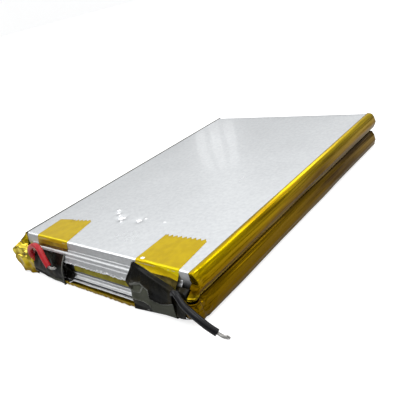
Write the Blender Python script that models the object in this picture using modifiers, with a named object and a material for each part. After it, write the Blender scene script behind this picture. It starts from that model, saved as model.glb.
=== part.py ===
"""Pack of two stacked aluminium-laminate pouch cells with bare-ended red and black leads.

Metres, +Z up. X runs across the pack, Y along it with the tab end at -Y, and the origin is
on the supporting surface, under the middle of the pack without its leads.
"""

import math

import bmesh
import bpy
from mathutils import Vector

MM = 0.001

# Driving dimensions
PACK_LENGTH = 116.1 * MM
CUP_HALF_WIDTH = 36.9 * MM
CELL_HEIGHT = 6.2 * MM
LOWER_BASE = 0.15 * MM
UPPER_BASE = 6.85 * MM
LOWER_CELL_SHIFT = -1.5 * MM
EDGE_BULGE = 1.8 * MM

# The tab end of a cell, measured from the front of the pack for the upper cell
FRONT = -PACK_LENGTH / 2
REAR = PACK_LENGTH / 2
WALL_TOP_SETBACK = 4.5 * MM
WALL_KNEE_SETBACK = 4.0 * MM
TERRACE_SETBACK = 2.2 * MM
KNEE_HEIGHT = 3.3 * MM
TERRACE_HEIGHT = 0.95 * MM
REAR_DRAFT = 0.5 * MM

# Laminate and films
LAMINATE = 0.15 * MM
COVER = 0.12 * MM
CUP_RIM_HEIGHT = 0.22 * MM
SEAL_OFFSET = 0.65 * MM
SEAL_LEAN = 0.2 * MM
SEAL_HEIGHT = 4.4 * MM
SEAL_GAP = 0.1 * MM
TAPE = 0.1 * MM
TAPE_GAP = 0.05 * MM
TOP_ROUNDING = 0.8 * MM
EDGE_TAPE_SETBACK = 3.6 * MM

# Electrode stack
PLATE_HALF_WIDTH = 34.3 * MM
PLATE_THICKNESS = 0.5 * MM
PLATE_PITCH = 1.0 * MM
FIRST_PLATE = 1.1 * MM
PLATE_COUNT = 5
PLATE_FRONT = 9.0 * MM
PLATE_REAR = 2.5 * MM
SEPARATOR = 0.12 * MM
FOIL = 0.2 * MM

# Tabs, from left to right: positive, negative
TAB_WIDTH = 5.0 * MM
TAB_THICKNESS = 0.16 * MM
POSITIVE_X = -19.0 * MM
NEGATIVE_X = 19.3 * MM

# Leads
LEAD_DIAMETER = 1.85 * MM
CORE_DIAMETER = 0.8 * MM
LEAD_STEP = 2.0 * LEAD_DIAMETER

CELLS = {
    "upper_cell": (UPPER_BASE, 0.0),
    "lower_cell": (LOWER_BASE, LOWER_CELL_SHIFT),
}

# How an outline drawn in two of the axes is turned so that it is extruded along the third
TURN = {
    "X": (math.pi / 2, 0.0, math.pi / 2),
    "Y": (math.pi / 2, 0.0, 0.0),
    "Z": (0.0, 0.0, 0.0),
}


# Scene and materials


def clear_scene():
    for obj in list(bpy.data.objects):
        bpy.data.objects.remove(obj, do_unlink=True)


def collection(name):
    made = bpy.data.collections.new(name)
    bpy.context.scene.collection.children.link(made)
    return made


def material(name, colour, roughness, metallic=0.0):
    made = bpy.data.materials.new(name)
    made.use_nodes = True
    shader = made.node_tree.nodes["Principled BSDF"]
    shader.inputs["Base Color"].default_value = (*colour, 1.0)
    shader.inputs["Roughness"].default_value = roughness
    shader.inputs["Metallic"].default_value = metallic
    return made


clear_scene()
PACK = collection("pouch_cell_pack")
CUTTERS = collection("cutters")

LAMINATE_SILVER = material("aluminium_laminate", (0.72, 0.74, 0.75), 0.35, 0.6)
AMBER_TAPE = material("polyimide_tape", (0.80, 0.55, 0.03), 0.2)
BLACK_TAPE = material("black_insulation_tape", (0.03, 0.03, 0.025), 0.3)
ALUMINIUM = material("bare_aluminium", (0.80, 0.81, 0.82), 0.3, 1.0)
NICKEL = material("nickel", (0.66, 0.65, 0.62), 0.3, 1.0)
SEALANT = material("tab_sealant", (0.75, 0.75, 0.70), 0.5)
CATHODE = material("cathode_coating", (0.05, 0.05, 0.05), 0.8)
ANODE = material("anode_coating", (0.09, 0.08, 0.08), 0.8)
SEPARATOR_FILM = material("separator_film", (0.85, 0.85, 0.83), 0.6)
BAND = material("stack_band_tape", (0.10, 0.35, 0.20), 0.4)
ADHESIVE = material("adhesive_pad", (0.80, 0.80, 0.76), 0.7)
SOLDER = material("solder", (0.62, 0.62, 0.60), 0.25, 1.0)
TINNED_COPPER = material("tinned_copper", (0.66, 0.65, 0.64), 0.3, 1.0)
RED_PVC = material("red_lead_insulation", (0.55, 0.03, 0.04), 0.35)
BLACK_PVC = material("black_lead_insulation", (0.015, 0.015, 0.02), 0.35)


# Modelling helpers


def add(name, data, group, finish=None):
    obj = bpy.data.objects.new(name, data)
    group.objects.link(obj)
    if finish:
        data.materials.append(finish)
    if group is CUTTERS:
        obj.hide_render = True
        obj.display_type = "WIRE"
    return obj


def box(name, low, high, finish=None, group=PACK):
    """A block between two corners."""
    mesh = bpy.data.meshes.new(name)
    shape = bmesh.new()
    bmesh.ops.create_cube(shape, size=1.0)
    size = Vector(high) - Vector(low)
    bmesh.ops.scale(shape, vec=size, verts=shape.verts)
    shape.to_mesh(mesh)
    shape.free()
    obj = add(name, mesh, group, finish)
    obj.location = (Vector(high) + Vector(low)) / 2
    return obj


def flat_curve(name, points, axis, low, high, cyclic):
    """An outline in the two axes that are not `axis`, extruded along `axis` from low to high."""
    curve = bpy.data.curves.new(name, "CURVE")
    curve.dimensions = "2D"
    curve.fill_mode = "BOTH" if cyclic else "NONE"
    curve.extrude = (high - low) / 2
    spline = curve.splines.new("POLY")
    spline.points.add(len(points) - 1)
    for point, (u, v) in zip(spline.points, points):
        point.co = (u, v, 0.0, 1.0)
    spline.use_cyclic_u = cyclic
    obj = bpy.data.objects.new(name, curve)
    bpy.context.scene.collection.objects.link(obj)
    obj.rotation_euler = TURN[axis]
    setattr(obj.location, axis.lower(), (high + low) / 2)
    return obj


def as_mesh(curve_object, name, group, finish):
    """Turn a curve object into a welded mesh object in the same place."""
    bpy.context.view_layer.update()
    graph = bpy.context.evaluated_depsgraph_get()
    mesh = bpy.data.meshes.new_from_object(curve_object.evaluated_get(graph))
    shape = bmesh.new()
    shape.from_mesh(mesh)
    shape.transform(curve_object.matrix_world)
    bmesh.ops.remove_doubles(shape, verts=shape.verts, dist=0.001 * MM)
    bmesh.ops.recalc_face_normals(shape, faces=shape.faces)
    shape.to_mesh(mesh)
    shape.free()
    mesh.materials.clear()
    bpy.data.objects.remove(curve_object, do_unlink=True)
    return add(name, mesh, group, finish)


def solid(name, points, axis, low, high, finish=None, group=PACK):
    """A closed outline extruded to a solid."""
    curve = flat_curve(name + "_outline", points, axis, low, high, cyclic=True)
    return as_mesh(curve, name, group, finish)


def film(name, points, axis, low, high, finish, thickness=TAPE, group=PACK):
    """A bent strip: an open line extruded to a ribbon, its thickness centred on the line."""
    curve = flat_curve(name + "_line", points, axis, low, high, cyclic=False)
    obj = as_mesh(curve, name, group, finish)
    skin = obj.modifiers.new("thickness", "SOLIDIFY")
    skin.thickness = thickness
    skin.offset = 0.0
    skin.use_even_offset = True
    return obj


def boolean(obj, other, operation):
    step = obj.modifiers.new(operation.lower(), "BOOLEAN")
    step.operation = operation
    step.solver = "EXACT"
    step.object = other


def round_edges(obj, wanted, radius, segments):
    """Round the edges whose two ends both satisfy `wanted`."""
    shape = bmesh.new()
    shape.from_mesh(obj.data)
    edges = [e for e in shape.edges if all(wanted(v.co) for v in e.verts)]
    bmesh.ops.bevel(shape, geom=edges, offset=radius, segments=segments, profile=0.5,
                    affect="EDGES", clamp_overlap=True)
    shape.to_mesh(obj.data)
    shape.free()


def smooth_route(points, step):
    """Points at an even pitch on a Catmull-Rom curve through the route's own points."""
    ends = [2 * points[0] - points[1], *points, 2 * points[-1] - points[-2]]
    fine = []
    for a, b, c, d in zip(ends, ends[1:], ends[2:], ends[3:]):
        for i in range(12):
            t = i / 12
            fine.append(0.5 * (2 * b + (c - a) * t + (2 * a - 5 * b + 4 * c - d) * t * t
                               + (3 * b - a - 3 * c + d) * t ** 3))
    fine.append(points[-1])
    length = sum((q - p).length for p, q in zip(fine, fine[1:]))
    count = max(2, round(length / step))
    picked, travelled, target = [fine[0]], 0.0, length / count
    for p, q in zip(fine, fine[1:]):
        travelled += (q - p).length
        if travelled >= target - 1e-9 and len(picked) < count:
            picked.append(q)
            target += length / count
    return picked + [fine[-1]]


def wire(name, route, diameter, finish):
    """A round wire along a smooth route given in millimetres."""
    points = smooth_route([Vector(p) * MM for p in route], step=LEAD_STEP)
    curve = bpy.data.curves.new(name, "CURVE")
    curve.dimensions = "3D"
    curve.bevel_depth = diameter / 2
    curve.bevel_resolution = 2
    curve.use_fill_caps = True
    spline = curve.splines.new("POLY")
    spline.points.add(len(points) - 1)
    for point, place in zip(spline.points, points):
        point.co = (*place, 1.0)
    return add(name, curve, PACK, finish)


# A cell: pouch


def tab_end(shift):
    """Where the wall's top, the wall's knee and the terrace's edge of a cell lie along Y."""
    return (FRONT + WALL_TOP_SETBACK + shift, FRONT + WALL_KNEE_SETBACK + shift,
            FRONT + TERRACE_SETBACK + shift)


def offset_line(points, distance):
    """The open line moved sideways by `distance`, to the left of its direction, with mitres."""
    vectors = [Vector(p) for p in points]
    runs = [(b - a).normalized() for a, b in zip(vectors, vectors[1:])]
    normals = [Vector((-r.y, r.x)) for r in runs]
    moved = []
    for i, place in enumerate(vectors):
        before, after = normals[max(i - 1, 0)], normals[min(i, len(normals) - 1)]
        mitre = (before + after).normalized()
        moved.append(place + mitre * distance / mitre.dot(after))
    return moved


def cup_line(base, shift):
    """The cup's side view: up the rear wall, forward over the top, down to the terrace's edge."""
    wall_top, wall_knee, terrace = tab_end(shift)
    rear_foot = REAR + shift
    top = base + CELL_HEIGHT
    return [
        (rear_foot, base + CUP_RIM_HEIGHT),
        (rear_foot - REAR_DRAFT, top),
        (wall_top, top),
        (wall_knee, base + KNEE_HEIGHT),
        (terrace, base + TERRACE_HEIGHT),
    ]


def seal_line(base, side, offset):
    """The folded side seal: out from the foot of the wall, round and up beside it."""
    foot = base + CUP_RIM_HEIGHT + 0.6 * LAMINATE - offset
    fold = CUP_HALF_WIDTH + SEAL_OFFSET + offset
    return [
        (side * (CUP_HALF_WIDTH - LAMINATE / 2), foot),
        (side * (fold - 0.4 * MM), foot),
        (side * fold, foot + 0.7 * MM),
        (side * (fold + SEAL_LEAN), base + SEAL_HEIGHT),
    ]


def pouch_cup(cell):
    base, shift = CELLS[cell]
    line = cup_line(base, shift)
    rear_foot, rim = line[0]
    terrace, edge_height = line[-1]
    outline = line + [(terrace, rim)]
    cup = solid(f"{cell}_pouch_cup", outline, "X", -CUP_HALF_WIDTH, CUP_HALF_WIDTH,
                LAMINATE_SILVER)
    top = base + CELL_HEIGHT
    round_edges(cup, lambda place: place.z > top - 0.01 * MM, TOP_ROUNDING, segments=3)

    slope = Vector(line[-1]) - Vector(line[-2])
    beyond = Vector(line[-1]) + slope.normalized() * MM
    inner = offset_line(line[:-1] + [beyond], LAMINATE)
    below = base - MM
    hollow = solid(f"{cell}_cup_hollow",
                   [(inner[0].x, below), *inner[:-1], inner[-1], (inner[-1].x, below)],
                   "X", LAMINATE - CUP_HALF_WIDTH, CUP_HALF_WIDTH - LAMINATE, group=CUTTERS)
    ceiling = top - LAMINATE
    round_edges(hollow, lambda place: place.z > ceiling - 0.01 * MM,
                TOP_ROUNDING - LAMINATE, segments=3)
    boolean(cup, hollow, "DIFFERENCE")

    for side, word in ((-1, "left"), (1, "right")):
        seal = film(f"{cell}_{word}_seal_fold", seal_line(base, side, 0.0), "Y",
                    terrace + 0.6 * MM, rear_foot - 0.6 * MM, None, LAMINATE, CUTTERS)
        boolean(cup, seal, "UNION")


def pouch_cover(cell):
    base, shift = CELLS[cell]
    terrace = tab_end(shift)[2]
    apart = LAMINATE / 2 + SEAL_GAP + COVER / 2
    left = [p for p in seal_line(base, -1, apart)][:0:-1]
    right = seal_line(base, 1, apart)[1:]
    height = base + COVER / 2
    flat = [(left[-1][0], height), (right[0][0], height)]
    film(f"{cell}_pouch_cover", left[:-1] + flat + right[1:], "Y", terrace, REAR + shift,
         LAMINATE_SILVER, COVER)


# A cell: electrode stack


def plate_height(base, index):
    return base + FIRST_PLATE + PLATE_PITCH * index


def electrode_plates(name, cell, first, tab_x, finish):
    """Every second plate of the stack, joined at the tab end by a comb of foils."""
    base, shift = CELLS[cell]
    front = FRONT + PLATE_FRONT + shift
    rear = REAR - PLATE_REAR + shift
    bar = front - 1.5 * MM
    heights = [plate_height(base, i) for i in range(first, PLATE_COUNT, 2)]
    half = FOIL / 2
    outline = [(bar - FOIL, heights[0] - half), (bar - FOIL, heights[-1] + half)]
    for i, height in enumerate(reversed(heights)):
        if i:
            outline.append((bar, height + half))
        outline += [(front + MM, height + half), (front + MM, height - half)]
        if i < len(heights) - 1:
            outline.append((bar, height - half))
    comb = solid(name, outline, "X", tab_x - TAB_WIDTH / 2, tab_x + TAB_WIDTH / 2, finish)
    for i, height in enumerate(heights):
        plate = box(f"{name}_plate_{i}",
                    (-PLATE_HALF_WIDTH, front, height - PLATE_THICKNESS / 2),
                    (PLATE_HALF_WIDTH, rear, height + PLATE_THICKNESS / 2), group=CUTTERS)
        boolean(comb, plate, "UNION")


def separator(cell):
    """One film folded to and fro between the plates."""
    base, shift = CELLS[cell]
    fold = PLATE_HALF_WIDTH + 0.2 * MM
    radius = PLATE_PITCH / 2
    line = [(fold, plate_height(base, 0) - radius)]
    for layer in range(PLATE_COUNT):
        side = -1 if layer % 2 == 0 else 1
        centre = plate_height(base, layer)
        for step in range(5):
            angle = math.pi * (step / 4 - 0.5)
            line.append((side * (fold + radius * math.cos(angle)),
                         centre + radius * math.sin(angle)))
    line.append((-line[-1][0], line[-1][1]))
    film(f"{cell}_separator", line, "Y", FRONT + PLATE_FRONT - 0.8 * MM + shift,
         REAR - PLATE_REAR + 0.8 * MM + shift, SEPARATOR_FILM, SEPARATOR)


def stack_band(cell):
    """A loop of tape round the middle of the stack."""
    base, shift = CELLS[cell]
    half_width = PLATE_HALF_WIDTH + 0.9 * MM
    low = plate_height(base, 0) - 0.64 * MM
    high = plate_height(base, PLATE_COUNT - 1) + 0.62 * MM
    half_length = 10 * MM
    band = box(f"{cell}_stack_band", (-half_width - TAPE, shift - half_length, low - TAPE),
               (half_width + TAPE, shift + half_length, high + TAPE), BAND)
    hole = box(f"{cell}_stack_band_hole", (-half_width, shift - 2 * half_length, low),
               (half_width, shift + 2 * half_length, high), group=CUTTERS)
    boolean(band, hole, "DIFFERENCE")


# A cell: tabs


def tab_height(base):
    return base + 0.43 * MM


def tab(cell, word, tab_x, finish):
    """A tab, from the foils' comb down and out between the laminates, then bent to its joint."""
    base, shift = CELLS[cell]
    terrace = tab_end(shift)[2]
    comb_face = FRONT + PLATE_FRONT + shift - 1.5 * MM - FOIL
    inside = comb_face - 0.1 * MM - TAB_THICKNESS / 2
    level = tab_height(base)
    line = [
        (inside, base + 3.8 * MM),
        (inside, level + 0.5 * MM),
        (inside - 0.5 * MM, level),
    ]
    if cell == "upper_cell":
        weld = terrace - 0.65 * MM
        line += [(weld + 0.25 * MM, level), (weld, level - 0.4 * MM), (weld, 3.4 * MM)]
    else:
        weld = FRONT + 1.3 * MM
        line += [(terrace - 0.15 * MM, level), (terrace - 0.3 * MM, level + 0.5 * MM),
                 (weld, 3.2 * MM), (weld, 6.2 * MM)]
    film(f"{cell}_{word}_tab", line, "X", tab_x - TAB_WIDTH / 2, tab_x + TAB_WIDTH / 2,
         finish, TAB_THICKNESS)


def tab_sealant(cell, word, tab_x):
    """A sleeve of sealing film round a tab, between the two laminates of the terrace."""
    base, shift = CELLS[cell]
    terrace = tab_end(shift)[2]
    level = tab_height(base)
    inner_half = TAB_WIDTH / 2 + 0.1 * MM
    outer_half = TAB_WIDTH / 2 + 0.8 * MM
    clear, wall = 0.13 * MM, 0.1 * MM
    front, back = terrace - 0.1 * MM, terrace + 1.2 * MM
    sleeve = box(f"{cell}_{word}_tab_sealant",
                 (tab_x - outer_half, front, level - clear - wall),
                 (tab_x + outer_half, back, level + clear + wall), SEALANT)
    slot = box(f"{cell}_{word}_sealant_slot",
               (tab_x - inner_half, front - MM, level - clear),
               (tab_x + inner_half, back + MM, level + clear), group=CUTTERS)
    boolean(sleeve, slot, "DIFFERENCE")


# A cell: tape over the folded side seals


def edge_tape(cell, word, side):
    """Tape that starts on the top face, bulges out over the folded seal and ends underneath."""
    base, shift = CELLS[cell]
    over, under = base + CELL_HEIGHT + TAPE, base - TAPE
    middle, half = (over + under) / 2, (over - under) / 2
    start = CUP_HALF_WIDTH - 0.3 * MM
    reach = EDGE_BULGE + 0.3 * MM - TAPE / 2
    bulge_power = 0.58
    line = [(side * (CUP_HALF_WIDTH - 0.9 * MM), over)]
    steps = 14
    for i in range(steps + 1):
        angle = math.pi * (0.5 - i / steps)
        out = abs(math.cos(angle)) ** bulge_power
        up = math.copysign(abs(math.sin(angle)) ** bulge_power, math.sin(angle))
        line.append((side * (start + reach * out), middle + half * up))
    line.append((side * (CUP_HALF_WIDTH - 2.9 * MM), under))
    film(f"{cell}_{word}_edge_tape", line, "Y", FRONT + EDGE_TAPE_SETBACK,
         REAR - 0.3 * MM + shift, AMBER_TAPE)


def cell_parts(cell):
    pouch_cup(cell)
    pouch_cover(cell)
    electrode_plates(f"{cell}_cathode_plates", cell, 1, POSITIVE_X, CATHODE)
    electrode_plates(f"{cell}_anode_plates", cell, 0, NEGATIVE_X, ANODE)
    separator(cell)
    stack_band(cell)
    tab(cell, "positive", POSITIVE_X, ALUMINIUM)
    tab(cell, "negative", NEGATIVE_X, NICKEL)
    tab_sealant(cell, "positive", POSITIVE_X)
    tab_sealant(cell, "negative", NEGATIVE_X)
    edge_tape(cell, "left", -1)
    edge_tape(cell, "right", 1)


# Between the cells


def adhesive_pads():
    low = LOWER_BASE + CELL_HEIGHT + TAPE_GAP
    high = UPPER_BASE - TAPE_GAP
    for word, middle in (("front", -32 * MM), ("rear", 32 * MM)):
        box(f"{word}_adhesive_pad", (-28 * MM, middle - 14 * MM, low),
            (28 * MM, middle + 14 * MM, high), ADHESIVE)


# Tapes at the tab end


def front_tape(word, low, high):
    """Tape from the upper cell's top face over its front edge and down the wall."""
    base, shift = CELLS["upper_cell"]
    wall = cup_line(base, shift)[2:]
    top_y, top_z = wall[0]
    slope_end = Vector(wall[1]).lerp(Vector(wall[2]), 0.55)
    cover = offset_line([(top_y + 12.6 * MM, top_z), wall[0], wall[1], slope_end], -TAPE)
    corner = cover[1]
    line = [cover[0], corner + Vector((0.5 * MM, 0)), corner + Vector((0.12 * MM, -0.12 * MM)),
            corner + Vector((-0.07 * MM, -0.5 * MM)), cover[2], cover[3]]
    film(f"{word}_front_tape", line, "X", low, high, AMBER_TAPE)


def lower_edge_tape():
    """The strip over the lower cell's front top edge, seen in the recess."""
    base, shift = CELLS["lower_cell"]
    wall_top, wall_knee = cup_line(base, shift)[2:4]
    part_way = Vector(wall_top).lerp(Vector(wall_knee), 0.7)
    back = (wall_top[0] + 4 * MM, wall_top[1])
    line = offset_line([back, wall_top, part_way], -TAPE)
    film("lower_cell_front_edge_tape", line, "X", -11.6 * MM, 13.0 * MM, AMBER_TAPE)


def bottom_front_tape():
    """The strip along the foot of the lower cell, from its front face to its underside."""
    line = [(FRONT + 8 * MM, TAPE / 2), (FRONT + 0.5 * MM, TAPE / 2),
            (FRONT + TAPE / 2, 0.45 * MM), (FRONT + 0.12 * MM, 1.4 * MM)]
    film("bottom_front_tape", line, "X", -14.6 * MM, 15.2 * MM, AMBER_TAPE)


def inner_insulation(name, low, high):
    """Black film on the lower cell's wall, behind a joint."""
    base, shift = CELLS["lower_cell"]
    wall = cup_line(base, shift)[2:]
    start = Vector(wall[0]).lerp(Vector(wall[1]), 0.12)
    end = Vector(wall[1]).lerp(Vector(wall[2]), 0.7)
    line = offset_line([start, wall[1], end], -1.2 * TAPE)
    film(name, line, "X", low, high, BLACK_TAPE)


def insulation_tape(name, low, high, lift):
    """Black tape over a joint: down the upper cell's wall, over the lead and under the pack."""
    face = FRONT + TAPE / 2
    line = [
        (FRONT + 3.55 * MM, 10.4 * MM + lift),
        (FRONT + 2.7 * MM, 9.3 * MM + lift),
        (FRONT + 0.45 * MM, 7.4 * MM + lift),
        (face, 5.6 * MM + lift),
        (face, 1.0 * MM),
        (FRONT + 0.4 * MM, TAPE / 2),
        (FRONT + 8 * MM, TAPE / 2),
    ]
    film(name, line, "X", low, high, BLACK_TAPE)


def pack_tapes():
    front_tape("left", -29.8 * MM, -13.6 * MM)
    front_tape("right", 17.3 * MM, 32.4 * MM)
    lower_edge_tape()
    bottom_front_tape()
    inner_insulation("left_insulation_flap", -30.6 * MM, -12.0 * MM)
    inner_insulation("right_inner_insulation", 13.4 * MM, 34.5 * MM)
    insulation_tape("left_insulation_tape", -30.6 * MM, -15.0 * MM, lift=0.0)
    insulation_tape("right_insulation_tape", 15.6 * MM, 31.5 * MM, lift=1.4 * MM)


# Leads and their joints

JOINT_Y = FRONT / MM + 0.77
RED_ROUTE = [
    (-22.0, -56.9, 4.6), (-27.2, -56.75, 4.3), (-30.2, -56.6, 4.8), (-31.9, -56.6, 6.2),
    (-32.1, -56.8, 8.1), (-30.6, -57.1, 10.1), (-27.9, -57.3, 11.5), (-25.2, -57.5, 12.1),
    (-23.1, -57.9, 11.2), (-21.2, -58.6, 9.0), (-19.4, -59.05, 6.65),
]
BLACK_ROUTE = [
    (22.2, -56.9, 4.6), (24.4, -56.85, 3.8), (27.2, -56.78, 3.8), (29.5, -56.82, 5.3),
    (31.1, -56.75, 7.35), (32.9, -57.1, 8.95), (34.5, -57.7, 8.7), (36.4, -58.4, 7.4),
    (39.1, -59.0, 6.15), (41.2, -59.1, 4.95), (43.1, -58.9, 3.5), (44.9, -58.4, 2.0),
]
RED_TIP = [
    (-19.15, -59.05, 6.3), (-18.3, -59.0, 6.1), (-17.2, -58.9, 6.3), (-16.1, -58.8, 6.75),
]
BLACK_TIP = [(45.15, -58.3, 1.65), (45.9, -58.1, 1.2), (46.8, -57.9, 1.0), (47.7, -57.8, 1.25)]
RED_TAIL = [(-21.7, -57.22, 4.6), (-21.1, JOINT_Y, 4.6), (-20.4, JOINT_Y, 4.6)]
BLACK_TAIL = [(21.9, -57.22, 4.65), (21.4, JOINT_Y, 4.55), (20.8, JOINT_Y, 4.5)]


def solder_joint(name, centre_x, height):
    """A flattened bead of solder on the lower cell's upturned tab."""
    mesh = bpy.data.meshes.new(name)
    shape = bmesh.new()
    bmesh.ops.create_uvsphere(shape, u_segments=16, v_segments=8, radius=1.0)
    bmesh.ops.scale(shape, vec=(1.2 * MM, 0.4 * MM, 1.1 * MM), verts=shape.verts)
    shape.to_mesh(mesh)
    shape.free()
    obj = add(name, mesh, PACK, SOLDER)
    obj.location = (centre_x, JOINT_Y * MM, height)


def leads():
    wire("red_lead", RED_ROUTE, LEAD_DIAMETER, RED_PVC)
    wire("black_lead", BLACK_ROUTE, LEAD_DIAMETER, BLACK_PVC)
    wire("red_lead_tinned_tip", RED_TIP, CORE_DIAMETER, TINNED_COPPER)
    wire("black_lead_tinned_tip", BLACK_TIP, CORE_DIAMETER, TINNED_COPPER)
    wire("red_lead_soldered_tail", RED_TAIL, CORE_DIAMETER, TINNED_COPPER)
    wire("black_lead_soldered_tail", BLACK_TAIL, CORE_DIAMETER, TINNED_COPPER)
    solder_joint("positive_solder_joint", POSITIVE_X + 0.15 * MM, 4.6 * MM)
    solder_joint("negative_solder_joint", NEGATIVE_X - 0.05 * MM, 4.5 * MM)


for cell_name in CELLS:
    cell_parts(cell_name)
adhesive_pads()
pack_tapes()
leads()
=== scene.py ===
"""Looks of the two-cell pouch pack: crumpled amber tape, black insulation, foil and leads."""

import math

import bmesh
import bpy
from mathutils import Matrix, Vector, noise


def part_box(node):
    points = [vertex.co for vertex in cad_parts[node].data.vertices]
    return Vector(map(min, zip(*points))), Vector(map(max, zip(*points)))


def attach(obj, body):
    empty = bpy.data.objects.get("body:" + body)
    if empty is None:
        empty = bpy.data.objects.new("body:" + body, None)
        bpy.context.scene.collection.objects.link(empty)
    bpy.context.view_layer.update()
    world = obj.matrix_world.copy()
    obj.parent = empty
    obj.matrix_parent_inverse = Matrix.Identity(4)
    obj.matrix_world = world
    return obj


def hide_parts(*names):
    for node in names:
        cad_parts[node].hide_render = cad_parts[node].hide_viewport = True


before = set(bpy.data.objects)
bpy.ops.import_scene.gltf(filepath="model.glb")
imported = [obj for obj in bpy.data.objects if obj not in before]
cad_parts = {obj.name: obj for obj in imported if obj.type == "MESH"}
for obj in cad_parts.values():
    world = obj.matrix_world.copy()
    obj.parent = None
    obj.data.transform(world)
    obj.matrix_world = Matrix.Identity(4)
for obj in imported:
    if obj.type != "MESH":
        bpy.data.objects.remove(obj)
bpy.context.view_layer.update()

# Vector noise takes its offsets from a seed, and without one it differs from run to run
CRUMPLE_SEED = 3
noise.seed_set(CRUMPLE_SEED)

MM = 0.001

# Camera: focal length for a 36 mm sensor, place, and the direction that it looks from
FOCAL_LENGTH = 42.44
CAMERA_PLACE = (0.10741, -0.11627, 0.07133)
CAMERA_AZIMUTH = math.radians(44.57)
CAMERA_ELEVATION = math.radians(23.44)
CAMERA_ROLL = math.radians(-14.94)

# The cells' lines from the boxes of their CAD nodes, in millimetres
PAD_INSET = 8.9
RIM_HEIGHT = 0.22
WALL_TOP_SETBACK = 2.3
KNEE_SETBACK = 1.8
KNEE_HEIGHT = 3.3
TERRACE_HEIGHT = 0.95

# The pack's main lines, read from the frame, in millimetres
CUP_HALF_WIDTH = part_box("front_adhesive_pad")[1].x / MM + PAD_INSET
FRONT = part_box("left_insulation_tape")[0].y / MM
CELLS = {}
for cell in ("upper_cell", "lower_cell"):
    low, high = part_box(f"{cell}_pouch_cup")
    CELLS[cell] = {
        "base": low.z / MM - RIM_HEIGHT,
        "top": high.z / MM,
        "terrace": low.y / MM,
        "rear": high.y / MM,
        "wall_top": low.y / MM + WALL_TOP_SETBACK,
        "knee": low.y / MM + KNEE_SETBACK,
        "knee_height": low.z / MM - RIM_HEIGHT + KNEE_HEIGHT,
        "terrace_height": low.z / MM - RIM_HEIGHT + TERRACE_HEIGHT,
    }


# Stage: the middle one of three narrow lights at the back left, and the step to the next
WINDOW_PLACE = (-0.383, 0.455, 0.196)
PANE_STEP = (0.018, 0.015)


def place_camera():
    """The camera, turned to its direction and then rolled."""
    data = bpy.data.cameras.new("camera")
    data.lens = FOCAL_LENGTH
    data.clip_start = 0.005
    camera = bpy.data.objects.new("camera", data)
    bpy.context.scene.collection.objects.link(camera)
    back = Vector((
        math.sin(CAMERA_AZIMUTH) * math.cos(CAMERA_ELEVATION),
        -math.cos(CAMERA_AZIMUTH) * math.cos(CAMERA_ELEVATION),
        math.sin(CAMERA_ELEVATION),
    ))
    right = Vector((0, 0, 1)).cross(back).normalized()
    level = Matrix((right, back.cross(right), back)).transposed()
    turn = level @ Matrix.Rotation(CAMERA_ROLL, 3, "Z")
    camera.matrix_world = Matrix.Translation(CAMERA_PLACE) @ turn.to_4x4()
    bpy.context.scene.camera = camera


def softbox(name, place, size, power):
    """A rectangular light that faces the pack."""
    data = bpy.data.lights.new(name, "AREA")
    data.shape = "RECTANGLE"
    data.size, data.size_y = size
    data.energy = power
    light = bpy.data.objects.new(name, data)
    bpy.context.scene.collection.objects.link(light)
    light.location = place
    light.rotation_euler = (-Vector(place)).to_track_quat("-Z", "Y").to_euler()


def place_lights():
    """A sky that is darker low down, three softboxes, and three narrow lights like panes."""
    world = bpy.data.worlds.new("studio")
    world.use_nodes = True
    bpy.context.scene.world = world
    tree = world.node_tree
    coordinates = tree.nodes.new("ShaderNodeTexCoord")
    lean = tree.nodes.new("ShaderNodeVectorMath")
    lean.operation = "DOT_PRODUCT"
    lean.inputs[1].default_value = (-0.12, 0.15, 0.9)
    ramp = tree.nodes.new("ShaderNodeValToRGB")
    tree.links.new(coordinates.outputs["Generated"], lean.inputs[0])
    tree.links.new(lean.outputs["Value"], ramp.inputs[0])
    tree.links.new(ramp.outputs["Color"], tree.nodes["Background"].inputs["Color"])
    elements = ramp.color_ramp.elements
    elements.new(0.42)
    elements.new(0.57)
    for element, (place, grey) in zip(elements, ((0.0, 0.12), (0.42, 0.52), (0.57, 0.95),
                                                  (0.9, 1.0))):
        element.position = place
        element.color = (0.98 * grey, grey, 1.01 * grey, 1)
    tree.nodes["Background"].inputs["Strength"].default_value = 1.0
    softbox("back_light", (0.08, 0.36, 0.36), (0.40, 0.14), 0.5)
    softbox("left_light", (-0.38, -0.22, 0.36), (0.34, 0.16), 0.4)
    softbox("top_light", (0.10, -0.10, 0.50), (0.30, 0.30), 0.6)
    for pane in (-1, 0, 1):
        place = (WINDOW_PLACE[0] + PANE_STEP[0] * pane, WINDOW_PLACE[1] + PANE_STEP[1] * pane,
                 WINDOW_PLACE[2])
        softbox(f"window_pane_{pane + 2}", place, (0.016, 0.07), 0.0024)


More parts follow.
